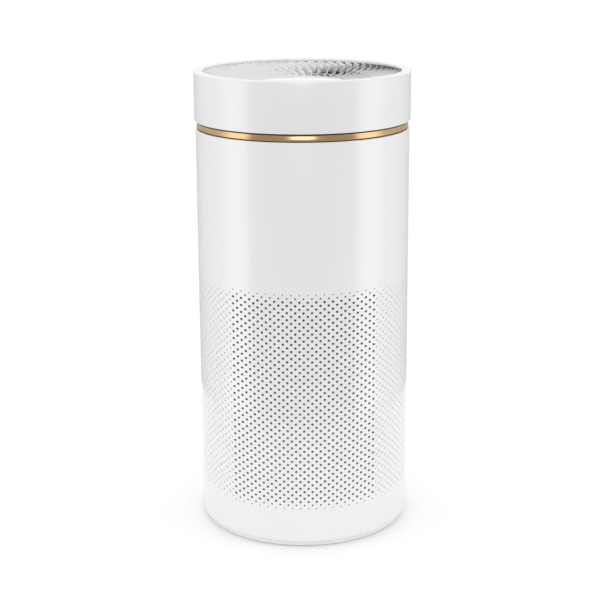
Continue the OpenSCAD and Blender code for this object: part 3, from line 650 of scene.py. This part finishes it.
def make_floor():
    """A pale round floor, no wider than the view needs."""
    bm = bmesh.new()
    bmesh.ops.create_circle(bm, cap_ends=True, segments=96, radius=FLOOR_R)
    mesh = bpy.data.meshes.new("floor")
    bm.to_mesh(mesh)
    bm.free()
    floor = bpy.data.objects.new("floor", mesh)
    bpy.context.scene.collection.objects.link(floor)
    surface = moulded("floor white", (0.91, 0.91, 0.91), (0.925, 0.925, 0.925), 0.9, 0.95, 40, 0.0001)
    shader = surface.node_tree.nodes["Principled BSDF"]
    shader.inputs["Emission Color"].default_value = (1, 1, 1, 1)
    shader.inputs["Emission Strength"].default_value = FLOOR_GLOW
    mesh.materials.append(surface)


def math_node(nodes, links, operation, first, second=None):
    """One step of arithmetic on numbers or on other nodes' results."""
    node = nodes.new("ShaderNodeMath")
    node.operation = operation
    for place, value in enumerate((first, second)):
        if isinstance(value, (int, float)):
            node.inputs[place].default_value = value
        elif value is not None:
            links.new(value, node.inputs[place])
    return node.outputs["Value"]


def span(nodes, links, value, low, high, top):
    """Ramp from 0 at low to the top value at high."""
    node = nodes.new("ShaderNodeMapRange")
    node.inputs["From Min"].default_value = low
    node.inputs["From Max"].default_value = high
    node.inputs["To Max"].default_value = top
    links.new(value, node.inputs["Value"])
    return node.outputs["Result"]


def make_light():
    """Soft light from all round; straight into the camera the studio is plain white."""
    world = bpy.data.worlds.new("studio")
    bpy.context.scene.world = world
    world.use_nodes = True
    nodes, links = world.node_tree.nodes, world.node_tree.links
    where = nodes.new("ShaderNodeTexCoord")
    split = nodes.new("ShaderNodeSeparateXYZ")
    links.new(where.outputs["Generated"], split.inputs["Vector"])
    front = math_node(nodes, links, "MULTIPLY", split.outputs["Y"], -1)
    turn = math_node(nodes, links, "ARCTAN2", split.outputs["X"], front)
    turn = math_node(nodes, links, "ABSOLUTE", turn)
    turn = math_node(nodes, links, "DIVIDE", turn, math.pi)
    ramp = nodes.new("ShaderNodeValToRGB")
    links.new(turn, ramp.inputs["Fac"])
    brightest = max(value for _, value in STUDIO)
    while len(ramp.color_ramp.elements) > 1:
        ramp.color_ramp.elements.remove(ramp.color_ramp.elements[-1])
    for number, (angle, value) in enumerate(STUDIO):
        stop = ramp.color_ramp.elements[0] if number == 0 else ramp.color_ramp.elements.new(angle / 180)
        stop.position = angle / 180
        stop.color = (value / brightest, value / brightest, value / brightest, 1)
    around = math_node(nodes, links, "MULTIPLY", ramp.outputs["Color"], brightest)
    card = span(nodes, links, turn, *CARD_TURN, CARD)
    rise = span(nodes, links, split.outputs["Z"], *CARD_RISE, 1)
    card = math_node(nodes, links, "MULTIPLY", card, rise)
    around = math_node(nodes, links, "ADD", around, card)
    card = span(nodes, links, turn, *BACK_CARD_TURN, BACK_CARD)
    rise = span(nodes, links, split.outputs["Z"], *BACK_CARD_RISE, 1)
    card = math_node(nodes, links, "MULTIPLY", card, rise)
    around = math_node(nodes, links, "ADD", around, card)
    studio = nodes.new("ShaderNodeMix")
    studio.data_type = "FLOAT"
    studio.inputs["B"].default_value = OVERHEAD
    links.new(span(nodes, links, split.outputs["Z"], *OVERHEAD_RISE, 1), studio.inputs["Factor"])
    links.new(around, studio.inputs["A"])
    seen = nodes.new("ShaderNodeLightPath")
    backdrop = nodes.new("ShaderNodeMix")
    backdrop.data_type = "FLOAT"
    backdrop.inputs["B"].default_value = BACKDROP
    links.new(seen.outputs["Is Camera Ray"], backdrop.inputs["Factor"])
    links.new(studio.outputs["Result"], backdrop.inputs["A"])
    links.new(backdrop.outputs["Result"], nodes["Background"].inputs["Strength"])
    nodes["Background"].inputs["Color"].default_value = (1, 1, 1, 1)


def make_camera():
    """One camera in front, a little above the rim and tilted down."""
    data = bpy.data.cameras.new("camera")
    data.sensor_width = 36
    data.lens = CAMERA_LENS
    data.shift_x, data.shift_y = CAMERA_SHIFT
    data.clip_end = 50
    camera = bpy.data.objects.new("camera", data)
    bpy.context.scene.collection.objects.link(camera)
    camera.location = CAMERA_AT
    turn = (Matrix.Rotation(math.radians(CAMERA_ASIDE), 3, "Z")
            @ Matrix.Rotation(math.radians(90 - CAMERA_DOWN), 3, "X")
            @ Matrix.Rotation(math.radians(CAMERA_ROLL), 3, "Z"))
    camera.rotation_euler = turn.to_euler()
    bpy.context.scene.camera = camera


make_floor()
make_light()
make_camera()
bpy.context.scene.view_settings.view_transform = "Standard"

bpy.context.view_layer.update()
